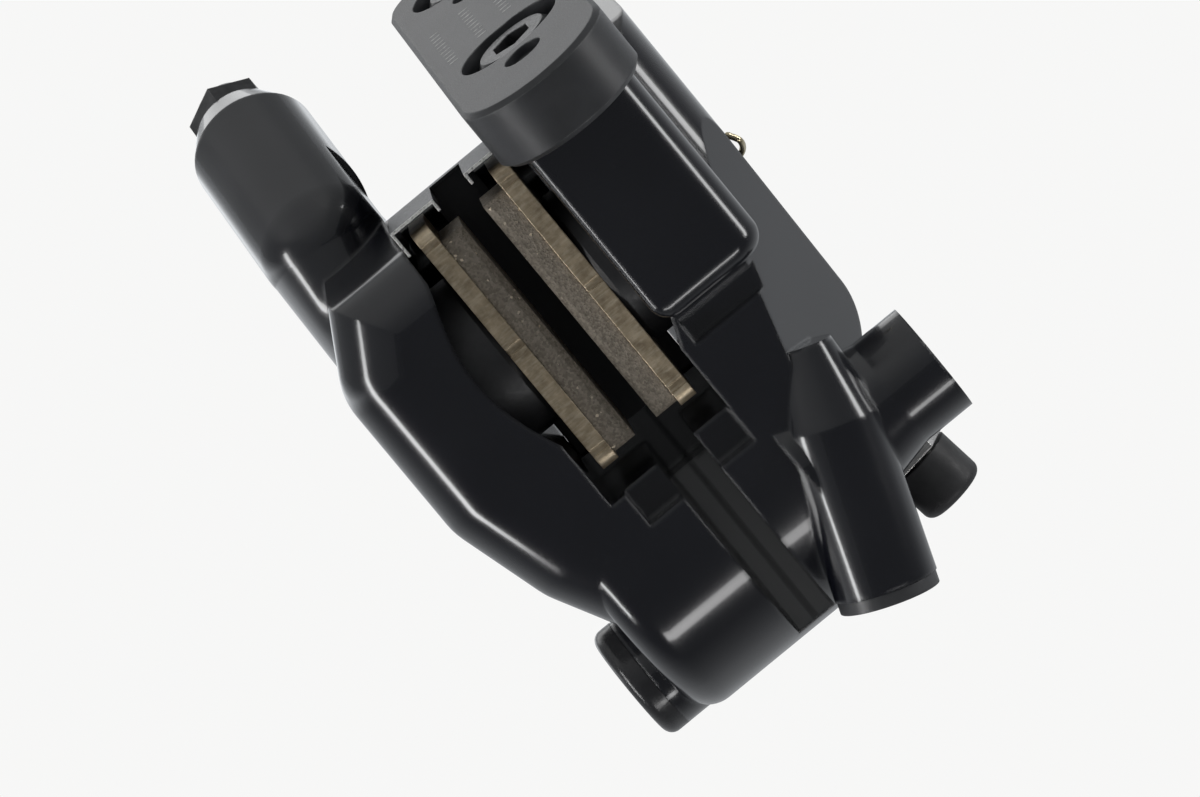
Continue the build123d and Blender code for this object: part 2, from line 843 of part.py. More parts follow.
def bridge_cap():
    """The round cap over the lower body bolt's head."""
    disc = rod_y(collar_radius, -collar_end - cap_thickness, -collar_end, body_bolt_x, body_bolt_z)
    disc = fillet(disc.edges().filter_by(GeomType.CIRCLE).sort_by(Axis.Y)[0], cap_round)
    stem_radius = body_bolt_head_radius - cap_stem_fit
    return disc + rod_y(stem_radius, -collar_end, -collar_end + cap_stem_length, body_bolt_x, body_bolt_z)


def crossover_seal():
    """The ring between the halves around the crossover drilling."""
    wire = crossover_seal_wire - crossover_seal_squeeze / 2
    ring = Torus(crossover_seal_radius, wire)
    return Pos(crossover_x, seam + wire, crossover_z) * Rot(90, 0, 0) * ring


def side_plug():
    """The socket plug in the side boss."""
    start = side_boss_end - side_plug_length
    end = side_boss_end - side_plug_recess
    plug = rod_y(side_plug_radius, start, end, side_boss_x, side_boss_z)
    plane = Plane(origin=(side_boss_x, end, side_boss_z), x_dir=(1, 0, 0), z_dir=(0, -1, 0))
    socket = plane * RegularPolygon(side_plug_socket / 2, 6, major_radius=False)
    return plug - extrude(socket, side_plug_socket_depth)


def low_plug():
    """The disc plug on the end of the lower boss."""
    start, end, along = low_boss_ends()
    disc = rod_between(low_boss_radius - low_plug_inset, end, end + along * low_plug_thickness)
    return disc + rod_between(low_plug_stem_radius, end - along * low_plug_stem, end)


def bleed_nipple():
    """The nipple with its thread, cone seat, hex and barbed stem."""
    top = bleed_boss_length
    start = top - bleed_thread_length
    hex_start = top + bleed_hex_lift
    hex_end = hex_start + bleed_hex_length
    stem_end = hex_end + bleed_stem_length
    nipple = rod_between(bleed_thread_radius, on_bleed_axis(start), on_bleed_axis(hex_start))
    plane = Plane(origin=on_bleed_axis(hex_start), z_dir=bleed_direction())
    nipple += extrude(plane * RegularPolygon(bleed_hex / 2, 6, major_radius=False), bleed_hex_length)
    nipple += rod_between(bleed_stem_radius, on_bleed_axis(hex_end), on_bleed_axis(stem_end))
    return nipple - rod_between(bleed_bore_radius, on_bleed_axis(stem_end - bleed_bore_length),
                                on_bleed_axis(stem_end + over))


def bleed_cap():
    """The rubber cap over the nipple's stem."""
    hex_end = bleed_boss_length + bleed_hex_lift + bleed_hex_length
    start = hex_end + bleed_cap_lift
    inner = hex_end + bleed_stem_length + bleed_cap_fit
    end = inner + bleed_cap_roof
    cap = rod_between(bleed_cap_radius, on_bleed_axis(start), on_bleed_axis(end))
    cap = fillet(cap.edges().filter_by(GeomType.CIRCLE).sort_by(Axis.Z)[-1], bleed_cap_round)
    bore_radius = bleed_stem_radius + bleed_cap_fit
    return cap - rod_between(bore_radius, on_bleed_axis(start - over), on_bleed_axis(inner))


# Hose port fittings, in the part's frame

def sleeve_nut():
    """The hex sleeve nut in the hose port."""
    start, end, along = port_ends()
    thread = rod_between(port_thread_radius - nut_thread_fit, port_point(nut_thread_length), end)
    plane = Plane(origin=end, z_dir=along)
    head = extrude(plane * RegularPolygon(nut_hex / 2, 6, major_radius=False), nut_hex_length)
    nose = cone_between(nut_hex / 2, nut_nose_radius, port_point(-nut_hex_length),
                        port_point(-nut_hex_length - nut_nose_length))
    bore = rod_between(nut_bore_radius, port_point(nut_thread_length + over),
                       port_point(-nut_hex_length - nut_nose_length - over))
    return thread + head + nose - bore


def olive():
    """The crimping ring under the sleeve nut."""
    low = nut_thread_length + olive_length
    ring = rod_between(olive_radius, port_point(low), port_point(nut_thread_length))
    return ring - rod_between(nut_bore_radius, port_point(low + over), port_point(nut_thread_length - over))


def both(shape):
    """The same piece on the outboard and on the inboard side, in the part's frame."""
    return CALIPER * shape, CALIPER * mirrored(shape)


if __name__ == "__main__":
    os.makedirs("parts", exist_ok=True)
    save("adapter_plate", adapter_plate())
    save("caliper_bolts", Compound([caliper_bolt(x) for x in bolt_xs]))
    save("bolt_washers", Compound([bolt_washer(x) for x in bolt_xs]))
    save("bolt_stopper_rings", Compound([stopper_ring(x) for x in bolt_xs]))
    save("inboard_body", inboard_body())
    save("outboard_body", outboard_body())
    pairs = {"piston": piston(), "piston_seal": piston_seal(),
             "pad_plate": pad_plate(), "pad_lining": pad_lining()}
    for name, shape in pairs.items():
        outboard, inboard = both(shape)
        save("outboard_" + name, outboard)
        save("inboard_" + name, inboard)
    save("lower_body_bolt", CALIPER * body_bolt(body_bolt_x, body_bolt_z, lower_bolt_seat))
    save("upper_body_bolt", CALIPER * body_bolt(upper_bolt_x, upper_bolt_z, upper_bolt_seat))
    singles = {"pad_axle": axle(), "pad_axle_clip": axle_clip(), "pad_spring": pad_spring(),
               "bridge_cap": bridge_cap(), "crossover_seal": crossover_seal(), "side_boss_plug": side_plug(),
               "lower_boss_plug": low_plug(), "bleed_nipple": bleed_nipple(), "bleed_cap": bleed_cap()}
    for name, shape in singles.items():
        save(name, CALIPER * shape)
    save("hose_sleeve_nut", sleeve_nut())
    save("hose_olive", olive())
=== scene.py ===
"""Looks of a bicycle disc brake caliper: materials, threads, small details, lights and camera.

Everything is in metres in the part's own frame: +X along the chainstay away from the axle,
+Y outboard, +Z away from the chainstay.
"""
import json
import math

import bmesh
import bpy
import numpy as np
from mathutils import Matrix, Vector


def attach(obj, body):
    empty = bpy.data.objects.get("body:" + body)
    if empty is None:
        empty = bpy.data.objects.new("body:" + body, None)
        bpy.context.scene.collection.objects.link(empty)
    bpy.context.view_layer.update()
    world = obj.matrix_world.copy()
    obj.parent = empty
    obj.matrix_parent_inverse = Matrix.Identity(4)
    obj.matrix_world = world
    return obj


bl_info = {
    "name": "Disc brake caliper looks",
    "version": (1, 0, 0),
    "blender": (4, 5, 0),
    "location": "View3D > Sidebar > Caliper",
    "description": "Materials, threads, marks, lights and camera of a disc brake caliper",
    "category": "Object",
}

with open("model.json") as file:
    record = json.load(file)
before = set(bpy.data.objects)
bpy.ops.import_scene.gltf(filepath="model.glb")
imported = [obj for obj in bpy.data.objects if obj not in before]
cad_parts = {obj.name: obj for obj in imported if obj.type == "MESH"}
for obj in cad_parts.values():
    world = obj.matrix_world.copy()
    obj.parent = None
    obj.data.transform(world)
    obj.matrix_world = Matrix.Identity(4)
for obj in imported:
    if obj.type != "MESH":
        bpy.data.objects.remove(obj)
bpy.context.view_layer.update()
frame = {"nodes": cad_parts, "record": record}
MOUNTS = {mount["name"]: mount for mount in frame["record"]["mounts"]}

MM = 0.001

# The camera's frame: the photograph's right, up and back directions, and the camera's place
CAMERA_PLACE = Vector((-0.479758, -0.002880, -0.114600))
CAMERA_RIGHT = Vector((-0.17202, 0.77206, 0.61183))
CAMERA_UP = Vector((0.24727, 0.63505, -0.73182))
CAMERA_BACK = Vector((-0.95356, 0.02540, -0.30014))

# The camera's lens and sensor in millimetres, and the nearest distance it shows
CAMERA_LENS = 152.55
CAMERA_SENSOR = 36
CAMERA_CLIP = 0.01

# The caliper's directions as the camera sees them: outboard, and away from the chainstay
OUTBOARD = Vector((0.02663, 0.99966, 0.0))
AWAY = Vector((-0.30004, 0.00799, 0.95389))
PART_MIDDLE = Vector((0.002, -0.014, 0.032))

# The caliper's own frame: x along the wheel's radius, y outboard, z along the rotor's rim
LEAN = math.radians(11)
CALIPER = Matrix.Translation((0.0004, -0.0137, 0.0261)) @ Matrix.Rotation(-LEAN, 4, "Y")


def from_caliper(x, y, z):
    """A point given in the caliper's frame in millimetres, in the part's frame."""
    return CALIPER @ Vector((x * MM, y * MM, z * MM))


# Towards the wheel in the caliper's frame, and how far that way the pad spring's sheared edges start
NEAR_WAY = CALIPER.to_3x3() @ Vector((-1, 0, 0))
SHEARED_EDGE = NEAR_WAY.dot(from_caliper(-8.4, 0, 0))


# Sizes and colours that a user would change

def length(name, description, default, low, high):
    """A setting that is a length in metres."""
    return bpy.props.FloatProperty(
        name=name, description=description, default=default, min=low, max=high, precision=5, unit="LENGTH")


def colour(name, description, default):
    """A setting that is a colour, in linear red, green and blue."""
    return bpy.props.FloatVectorProperty(
        name=name, description=description, default=default, min=0, max=1, size=3, subtype="COLOR")


def share(name, description, default, high=1.0):
    """A setting that is a plain factor from 0."""
    return bpy.props.FloatProperty(
        name=name, description=description, default=default, min=0, max=high, subtype="FACTOR")


class CaliperSizes(bpy.types.PropertyGroup):
    """Sizes of the small pieces that are added to the solids"""
    thread_pitch: length("Thread pitch", "Pitch of the frame holes' threads", 0.8 * MM, 0.3 * MM, 2 * MM)
    thread_depth: length("Thread depth", "Depth of those threads", 0.32 * MM, 0.1 * MM, 0.6 * MM)
    tick_width: length("Tick width", "Width of one printed tick", 0.35 * MM, 0.1 * MM, 1 * MM)
    tick_length: length("Tick length", "Length of one printed tick", 1.2 * MM, 0.5 * MM, 5 * MM)
    tick_pitch: length("Tick pitch", "Step from tick to tick along a row", 1.4 * MM, 0.5 * MM, 5 * MM)
    wire_radius: length("Clip wire radius", "Radius of the clip's wire", 0.33 * MM, 0.1 * MM, 0.6 * MM)
    leaf_thickness: length("Leaf thickness", "Thickness of the spring's leaves", 0.3 * MM, 0.1 * MM, 0.6 * MM)
    leaf_curl: length("Leaf curl", "How far a leaf's tip curls from the pads", 0.5 * MM, 0, 1 * MM)


class CaliperColours(bpy.types.PropertyGroup):
    """The two tones between which each finish wanders"""
    paint_deep: colour("Paint, deep", "Deeper tone of the body's gloss paint", (0.0040, 0.0044, 0.0075))
    paint_pale: colour("Paint, pale", "Paler tone of the body's gloss paint", (0.0065, 0.0070, 0.0105))
    plate_deep: colour("Plate, deep", "Deeper tone of the adapter plate", (0.024, 0.025, 0.027))
    plate_pale: colour("Plate, pale", "Paler tone of the adapter plate", (0.040, 0.041, 0.045))
    steel_deep: colour("Dark steel, deep", "Deeper tone of bolts and nut", (0.035, 0.035, 0.037))
    steel_pale: colour("Dark steel, pale", "Paler tone of bolts and nut", (0.075, 0.075, 0.078))
    backing_bright: colour("Pad backing", "Clean metal of the pads' back plates", (0.56, 0.455, 0.315))
    backing_tarnish: colour("Pad backing, tarnished", "Tarnish of the back plates", (0.30, 0.235, 0.155))
    lining_deep: colour("Pad lining, deep", "Deeper grains of the linings", (0.20, 0.172, 0.138))
    lining_pale: colour("Pad lining, pale", "Paler grains of the linings", (0.31, 0.272, 0.222))
    spring_coat: colour("Spring coat", "Black coat of the pad spring", (0.03, 0.03, 0.032))
    spring_bare: colour("Spring edge", "Bare sheared edge of the pad spring", (0.88, 0.87, 0.84))
    wire_bright: colour("Clip wire", "Clean metal of the clip", (0.78, 0.70, 0.52))
    wire_tarnish: colour("Clip wire, tarnished", "Tarnish of the clip", (0.50, 0.42, 0.26))
    tick_worn: colour("Ticks, worn", "Print of the ticks where it is worn", (0.20, 0.20, 0.20))
    tick_fresh: colour("Ticks, fresh", "Print of the ticks where it is whole", (0.55, 0.55, 0.54))


class CaliperStage(bpy.types.PropertyGroup):
    """The lamps' strength and the colours round the part"""
    lamps: share("Lamps", "Strength of all the lamps together", 1.0, 4.0)
    floor_glow: share("Floor glow", "Paleness that the camera sees without light on the floor", 0.62)
    backdrop: colour("Backdrop", "Background that the camera sees", (0.93, 0.93, 0.925))
    tent: colour("Tent", "Colour of the light tent round the part", (0.94, 0.97, 1.0))
    floor_glow_tone: colour("Floor glow tone", "Colour of the floor's own paleness", (0.88, 0.88, 0.875))
    paper_deep: colour("Floor, deep", "Deeper tone of the floor's paper", (0.84, 0.84, 0.83))
    paper_pale: colour("Floor, pale", "Paler tone of the floor's paper", (0.88, 0.88, 0.87))


# Meshes from grids of points

def grid_object(name, grids, body, material, wrap=False):
    """One mesh from arrays of points (rows, columns, 3); wrap closes each along its columns."""
    points = []
    faces = []
    for grid in grids:
        rows, columns = grid.shape[:2]
        index = len(points) + np.arange(rows * columns).reshape(rows, columns)
        if wrap:
            index = np.hstack([index, index[:, :1]])
        quads = np.stack([index[:-1, :-1], index[:-1, 1:], index[1:, 1:], index[1:, :-1]], axis=-1)
        points += grid.reshape(-1, 3).tolist()
        faces += quads.reshape(-1, 4).tolist()
    mesh = bpy.data.meshes.new(name)
    mesh.from_pydata(points, [], faces)
    mesh.shade_smooth()
    piece = bpy.data.objects.new(name, mesh)
    bpy.context.scene.collection.objects.link(piece)
    mesh.materials.append(material)
    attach(piece, body)
    return piece


def weld(piece, reach=0.0001 * MM):
    """Merge a piece's points that touch and turn every face outwards."""
    shell = bmesh.new()
    shell.from_mesh(piece.data)
    bmesh.ops.remove_doubles(shell, verts=shell.verts, dist=reach)
    bmesh.ops.recalc_face_normals(shell, faces=shell.faces)
    shell.to_mesh(piece.data)
    shell.free()


def across(axis):
    """Two unit vectors square to an axis and to each other."""
    first = axis.orthogonal().normalized()
    return first, axis.cross(first)


def thread_points(start, axis, reach, radius, depth, pitch, rows_per_turn=10, columns=64):
    """Points of a screw thread: radius - depth * ridge((s / pitch - angle / 2 pi) mod 1) round the axis.

    The ridge is a triangle wave with a flat crest, clip(1.25 - 1.5 |2 phase - 1|) to 0..1. s runs along the
    axis and angle round it, and the depth fades over the last 0.4 of a pitch at each end.
    """
    rows = int(reach / pitch * rows_per_turn)
    s = np.linspace(0, reach, rows)[:, None]
    angle = np.linspace(0, 2 * np.pi, columns, endpoint=False)[None, :]
    phase = (s / pitch - angle / (2 * np.pi)) % 1
    ridge = np.clip(1.25 - np.abs(2 * phase - 1) * 1.5, 0, 1)
    fade = np.clip(np.minimum(s, reach - s) / (0.4 * pitch), 0, 1)
    r = radius - depth * ridge * fade
    first, second = (np.array(v) for v in across(axis))
    round_axis = np.cos(angle)[..., None] * first + np.sin(angle)[..., None] * second
    return np.array(start) + s[..., None] * np.array(axis) + r[..., None] * round_axis


def tube_points(path, radius, sides=16, steps=12, dome=5):
    """A round wire along a smooth curve through a few points, with closed, domed ends.

    The curve is a Catmull-Rom spline. Each ring is centre + r (cos a, sin a) across the curve. Over a dome
    r = radius * u, and the centre lies radius * sqrt(1 - u ** 2) past the curve's end, for u in 0..1.
    """
    spots = np.array([2 * path[0] - path[1], *path, 2 * path[-1] - path[-2]])
    t = np.linspace(0, 1, steps, endpoint=False)[:, None]
    runs = [0.5 * ((2 * b) + (c - a) * t + (2 * a - 5 * b + 4 * c - d) * t ** 2
                   + (3 * b - a - 3 * c + d) * t ** 3)
            for a, b, c, d in zip(spots, spots[1:], spots[2:], spots[3:])]
    line = np.vstack([*runs, spots[-2][None]])
    along = np.gradient(line, axis=0)
    along /= np.linalg.norm(along, axis=1, keepdims=True)
    u = np.linspace(0, 1, dome)
    past = radius * np.sqrt(1 - u[:, None] ** 2)
    middle = np.vstack([line[0] - along[0] * past, line[1:-1], line[-1] + along[-1] * past[::-1]])
    ways = np.vstack([np.repeat(along[:1], dome, axis=0), along[1:-1], np.repeat(along[-1:], dome, axis=0)])
    widths = np.concatenate([radius * u, np.full(len(line) - 2, radius), radius * u[::-1]])
    first = np.cross(ways, CLIP_UPRIGHT)
    first /= np.linalg.norm(first, axis=1, keepdims=True)
    second = np.cross(ways, first)
    angle = np.linspace(0, 2 * np.pi, sides, endpoint=False)[None, :, None]
    ring = np.cos(angle) * first[:, None] + np.sin(angle) * second[:, None]
    return middle[:, None] + widths[:, None, None] * ring


# Node-based materials

class Nodes:
    """A node tree that is built one step at a time."""

    def __init__(self, tree):
        self.tree = tree

    def node(self, kind):
        """A new node of a kind."""
        return self.tree.nodes.new("ShaderNode" + kind)

    def feed(self, socket, value):
        """Set a socket to a value or link it to another socket."""
        if isinstance(value, bpy.types.NodeSocket):
            self.tree.links.new(value, socket)
        else:
            socket.default_value = value

    def ramp(self, value, low, high, out_low=0.0, out_high=1.0):
        """A value mapped from low..high to out_low..out_high and clamped."""
        made = self.node("MapRange")
        self.feed(made.inputs["Value"], value)
        limits = {"From Min": low, "From Max": high, "To Min": out_low, "To Max": out_high}
        for key, number in limits.items():
            made.inputs[key].default_value = number
        return made.outputs["Result"]

    def math(self, operation, first, second):
        """One step of arithmetic."""
        made = self.node("Math")
        made.operation = operation
        self.feed(made.inputs[0], first)
        self.feed(made.inputs[1], second)
        return made.outputs[0]

    def times(self, first, second):
        """A product."""
        return self.math("MULTIPLY", first, second)

    def dot(self, first, second):
        """The dot product of a vector socket with a direction or another socket."""
        made = self.node("VectorMath")
        made.operation = "DOT_PRODUCT"
        self.feed(made.inputs[0], first)
        self.feed(made.inputs[1], second)
        return made.outputs["Value"]


class Surface(Nodes):
    """A material whose nodes are added one by one."""

    def __init__(self, name, metallic=0.0, specular=0.5):
        self.material = bpy.data.materials.new(name)
        self.material.use_nodes = True
        super().__init__(self.material.node_tree)
        self.shader = self.tree.nodes["Principled BSDF"]
        self.shader.inputs["Metallic"].default_value = metallic
        self.shader.inputs["Specular IOR Level"].default_value = specular
        self.place = self.node("TexCoord").outputs["Object"]

    def noise(self, scale, detail=4.0, roughness=0.55, stretch=(1, 1, 1)):
        """Noise between 0 and 1; scale is in blotches per metre, and stretch lengthens them by axis."""
        mapping = self.node("Mapping")
        self.feed(mapping.inputs["Vector"], self.place)
        mapping.inputs["Scale"].default_value = [1 / v for v in stretch]
        made = self.node("TexNoise")
        self.feed(made.inputs["Vector"], mapping.outputs[0])
        made.inputs["Scale"].default_value = scale
        made.inputs["Detail"].default_value = detail
        made.inputs["Roughness"].default_value = roughness
        return made.outputs["Fac"]

    def mix(self, factor, first, second):
        """A mix of two colours, each a socket or red, green and blue."""
        made = self.node("Mix")
        made.data_type = "RGBA"
        self.feed(made.inputs["Factor"], factor)
        for socket, value in ((made.inputs[6], first), (made.inputs[7], second)):
            self.feed(socket, value if isinstance(value, bpy.types.NodeSocket) else (*value, 1))
        return made.outputs[2]

    def rounded(self, radius):
        """The normal with sharp edges rounded at a radius."""
        made = self.node("Bevel")
        made.samples = 6
        made.inputs["Radius"].default_value = radius
        return made.outputs["Normal"]

    def edges(self, radius, low=0.02, high=0.25):
        """How near a point is to a sharp edge, from the rounded normal against the true one."""
        true = self.node("NewGeometry").outputs["Normal"]
        return self.ramp(self.dot(self.rounded(radius), true), 1 - low, 1 - high)

    def bump(self, height, distance, normal):
        """Relief of a distance in metres over a normal."""
        made = self.node("Bump")
        made.inputs["Distance"].default_value = distance
        self.feed(made.inputs["Height"], height)
        self.feed(made.inputs["Normal"], normal)
        return made.outputs["Normal"]

    def finish(self, base, roughness, normal):
        """Link the main sockets and hand back the material."""
        self.feed(self.shader.inputs["Base Color"], base)
        self.feed(self.shader.inputs["Roughness"], roughness)
        self.feed(self.shader.inputs["Normal"], normal)
        return self.material


# Tones of dust, wear and dirt, and the radius at which most small edges catch the light
PAINT_DUST = (0.22, 0.21, 0.20)
PAINT_WEAR = (0.35, 0.35, 0.34)
PLATE_WEAR = (0.5, 0.5, 0.49)
STEEL_WEAR = (0.42, 0.41, 0.40)
BACKING_DRAWN = (0.84, 0.76, 0.60)
LINING_PIT = (0.07, 0.06, 0.052)
LINING_FLECK = (0.72, 0.62, 0.48)
SMALL_EDGE = 0.2 * MM


def gloss_paint(colours):
    """Gloss black paint: deep and smooth, with a soft waviness, sparse dust and faintly worn edges."""
    paint = Surface("gloss_black_metal", specular=0.5)
    paint.shader.inputs["Coat Weight"].default_value = 0.6
    paint.shader.inputs["Coat Roughness"].default_value = 0.07
    dust = paint.ramp(paint.noise(2400, detail=6, roughness=0.75), 0.62, 0.8)
    cloud = paint.ramp(paint.noise(60, detail=2), 0.3, 0.7)
    scratch = paint.ramp(paint.noise(2600, detail=3, roughness=0.6, stretch=(1, 1, 14)), 0.66, 0.78)
    base = paint.mix(cloud, colours.paint_deep, colours.paint_pale)
    base = paint.mix(paint.times(dust, 0.10), base, PAINT_DUST)
    base = paint.mix(paint.times(paint.edges(0.15 * MM), 0.05), base, PAINT_WEAR)
    rough = paint.math("ADD", paint.ramp(cloud, 0, 1, 0.17, 0.24), paint.times(scratch, 0.08))
    waves = paint.bump(paint.noise(34, detail=1), 0.9 * MM, paint.rounded(0.7 * MM))
    normal = paint.bump(paint.noise(3800, detail=3), 0.0015 * MM, waves)
    return paint.finish(base, rough, normal)


def satin_plate(colours):
    """Satin black anodised plate, pale where its face meets the light."""
    plate = Surface("satin_black_metal", specular=0.45)
    grain = plate.noise(5200, roughness=0.7)
    cloud = plate.ramp(plate.noise(150), 0.3, 0.7)
    base = plate.mix(cloud, colours.plate_deep, colours.plate_pale)
    wear = plate.times(plate.edges(0.3 * MM), plate.ramp(plate.noise(700), 0.35, 0.65))
    base = plate.mix(plate.times(wear, 0.45), base, PLATE_WEAR)
    rough = plate.ramp(grain, 0.3, 0.7, 0.34, 0.48)
    normal = plate.bump(grain, 0.012 * MM, plate.rounded(0.25 * MM))
    return plate.finish(base, rough, normal)


def dark_steel(colours):
    """Blackened steel of bolts, nut and plug, brighter on worn edges."""
    steel = Surface("dark_bolt_steel", metallic=0.8)
    cloud = steel.ramp(steel.noise(600), 0.3, 0.7)
    base = steel.mix(cloud, colours.steel_deep, colours.steel_pale)
    wear = steel.times(steel.edges(SMALL_EDGE), steel.ramp(steel.noise(1500, detail=3), 0.3, 0.6))
    base = steel.mix(steel.times(wear, 0.6), base, STEEL_WEAR)
    rough = steel.ramp(steel.noise(3000, detail=3), 0.3, 0.7, 0.28, 0.42)
    normal = steel.bump(steel.noise(2500), 0.008 * MM, steel.rounded(SMALL_EDGE))
    return steel.finish(base, rough, normal)


def turned_metal(name, tarnish, bright, roughness=0.25):
    """Bright turned or drawn metal with fine lines and small tarnish."""
    metal = Surface(name, metallic=1.0)
    patches = metal.ramp(metal.noise(800, detail=5), 0.35, 0.7)
    base = metal.mix(patches, bright, tarnish)
    lines = metal.noise(4000, detail=2, roughness=0.5, stretch=(1, 30, 1))
    rough = metal.ramp(lines, 0.3, 0.7, roughness - 0.06, roughness + 0.08)
    normal = metal.bump(lines, 0.006 * MM, metal.rounded(0.15 * MM))
    return metal.finish(base, rough, normal)


def moulded(name, dark, light, roughness, specular=0.5):
    """Moulded plastic, rubber or ceramic with a faint skin texture."""
    skin = Surface(name, specular=specular)
    cloud = skin.ramp(skin.noise(300), 0.3, 0.7)
    base = skin.mix(cloud, dark, light)
    rough = skin.ramp(skin.noise(1800, detail=3), 0.3, 0.7, roughness - 0.05, roughness + 0.08)
    normal = skin.bump(skin.noise(2200, detail=3), 0.01 * MM, skin.rounded(SMALL_EDGE))
    return skin.finish(base, rough, normal)


def pad_backing(colours):
    """Sheared steel back plate with a pale bronze tint: draw lines across and dark tarnish."""
    backing = Surface("pad_backing", metallic=0.6)
    drawn = backing.noise(3200, roughness=0.6, stretch=(1, 6, 1))
    blotch = backing.ramp(backing.noise(520, detail=5, roughness=0.65), 0.38, 0.68)
    base = backing.mix(blotch, colours.backing_bright, colours.backing_tarnish)
    base = backing.mix(backing.ramp(drawn, 0.45, 0.75, 0, 0.45), base, BACKING_DRAWN)
    rough = backing.ramp(drawn, 0.3, 0.7, 0.30, 0.48)
    normal = backing.bump(drawn, 0.03 * MM, backing.rounded(SMALL_EDGE))
    return backing.finish(base, rough, normal)


def pad_lining(colours):
    """Friction compound: grey-brown grains of several sizes, pits and a few bright metal specks."""
    lining = Surface("pad_lining", specular=0.3)
    cells = lining.node("TexVoronoi")
    lining.feed(cells.inputs["Vector"], lining.place)
    cells.inputs["Scale"].default_value = 4200
    split = lining.node("SeparateColor")
    lining.feed(split.inputs[0], cells.outputs["Color"])
    grain = lining.ramp(split.outputs[0], 0.1, 0.9)
    base = lining.mix(grain, colours.lining_deep, colours.lining_pale)
    pits = lining.ramp(lining.noise(900, detail=5, roughness=0.7), 0.55, 0.72, 0, 0.5)
    base = lining.mix(pits, base, LINING_PIT)
    fleck = lining.ramp(split.outputs[1], 0.988, 0.994)
    base = lining.mix(fleck, base, LINING_FLECK)
    lining.feed(lining.shader.inputs["Metallic"], lining.times(fleck, 0.8))
    rough = lining.ramp(fleck, 0, 1, 0.78, 0.35)
    hollows = lining.times(cells.outputs["Distance"], 0.6)
    relief = lining.math("ADD", hollows, lining.noise(3500, detail=6, roughness=0.7))
    normal = lining.bump(relief, 0.09 * MM, lining.rounded(SMALL_EDGE))
    return lining.finish(base, rough, normal)


def spring_sheet(colours):
    """Black-coated spring sheet whose sheared near edges are bright and rough."""
    sheet = Surface("black_spring_steel", metallic=0.7)
    torn = sheet.noise(3600, detail=5, roughness=0.7)
    facing = sheet.ramp(sheet.dot(sheet.place, NEAR_WAY), SHEARED_EDGE - 0.1 * MM, SHEARED_EDGE)
    bright = sheet.times(facing, sheet.ramp(torn, 0.32, 0.5))
    base = sheet.mix(bright, colours.spring_coat, colours.spring_bare)
    rough = sheet.ramp(torn, 0.3, 0.7, 0.3, 0.5)
    normal = sheet.bump(torn, 0.02 * MM, sheet.rounded(0.1 * MM))
    return sheet.finish(base, rough, normal)


def tick_print(colours):
    """Pale print of the plain ticks, worn in places."""
    ink = Surface("tick_print", specular=0.3)
    cover = ink.ramp(ink.noise(2500, detail=5), 0.35, 0.6)
    base = ink.mix(cover, colours.tick_worn, colours.tick_fresh)
    return ink.finish(base, 0.5, ink.bump(cover, 0.004 * MM, ink.rounded(0.05 * MM)))


def make_materials(colours):
    """Every material, by the record's slot."""
    return {
        "gloss_black_metal": gloss_paint(colours),
        "satin_black_metal": satin_plate(colours),
        "dark_bolt_steel": dark_steel(colours),
        # Painted shade: the pistons' near-black colour stands in for the shade inside the bore mouths, on top
        # of a dark phenolic tone.
        "piston_ceramic": moulded("piston_ceramic", (0.014, 0.014, 0.016), (0.024, 0.024, 0.026), 0.45),
        "seal_rubber": moulded("seal_rubber", (0.015, 0.015, 0.015), (0.035, 0.035, 0.035), 0.6, 0.3),
        "pad_backing": pad_backing(colours),
        "pad_lining": pad_lining(colours),
        "plain_steel": turned_metal("plain_steel", (0.42, 0.41, 0.40), (0.62, 0.61, 0.60)),
        "clip_wire": turned_metal("clip_wire", colours.wire_tarnish, colours.wire_bright, 0.2),
        "black_spring_steel": spring_sheet(colours),
        "gloss_black_cap": moulded("gloss_black_cap", (0.018, 0.018, 0.02), (0.03, 0.03, 0.032), 0.2),
        "black_plug": moulded("black_plug", (0.035, 0.036, 0.038), (0.055, 0.056, 0.06), 0.34),
        "cap_rubber": moulded("cap_rubber", (0.02, 0.02, 0.021), (0.04, 0.04, 0.042), 0.5, 0.4),
        "brass_olive": turned_metal("brass_olive", (0.50, 0.36, 0.15), (0.78, 0.60, 0.30)),
        "tick_print": tick_print(colours),
    }


MATERIALS = {}


def made_material(name):
    """A material that the first step made."""
    if name not in MATERIALS:
        raise RuntimeError("The Materials step comes before the pieces")
    return MATERIALS[name]


class CALIPER_OT_materials(bpy.types.Operator):
    """Give every CAD node the material of its slot"""
    bl_idname = "caliper.materials"
    bl_label = "Materials"

    def execute(self, context):
        MATERIALS.update(make_materials(context.scene.caliper_colours))
        for part in frame["record"]["subparts"]:
            node = frame["nodes"][part["node"]]
            node.data.materials.clear()
            node.data.materials.append(MATERIALS[part["material_slot"]])
        return {"FINISHED"}


# Threads of the plate's frame holes

# Where a thread starts above the frame face, how far it reaches, and how deep its root sits in the wall
THREAD_START = 0.8 * MM
THREAD_REACH = 5.9 * MM
THREAD_ROOT = 0.02 * MM


class CALIPER_OT_frame_threads(bpy.types.Operator):
    """Cut threads into the plate's two frame holes"""
    bl_idname = "caliper.frame_threads"
    bl_label = "Frame threads"

    def execute(self, context):
        sizes = context.scene.caliper_sizes
        holes = MOUNTS["frame_holes"]["dims"]
        reach = holes["spacing_x_mm"] * MM / 2
        radius = holes["hole_r_mm"] * MM + THREAD_ROOT
        material = made_material("satin_black_metal")
        for name, x in (("near_frame_thread", -reach), ("far_frame_thread", reach)):
            points = thread_points((x, 0, THREAD_START), Vector((0, 0, 1)), THREAD_REACH, radius,
                                   sizes.thread_depth, sizes.thread_pitch)
            grid_object(name, [points], "caliper", material, True)
        return {"FINISHED"}


# Ticks printed on the plate

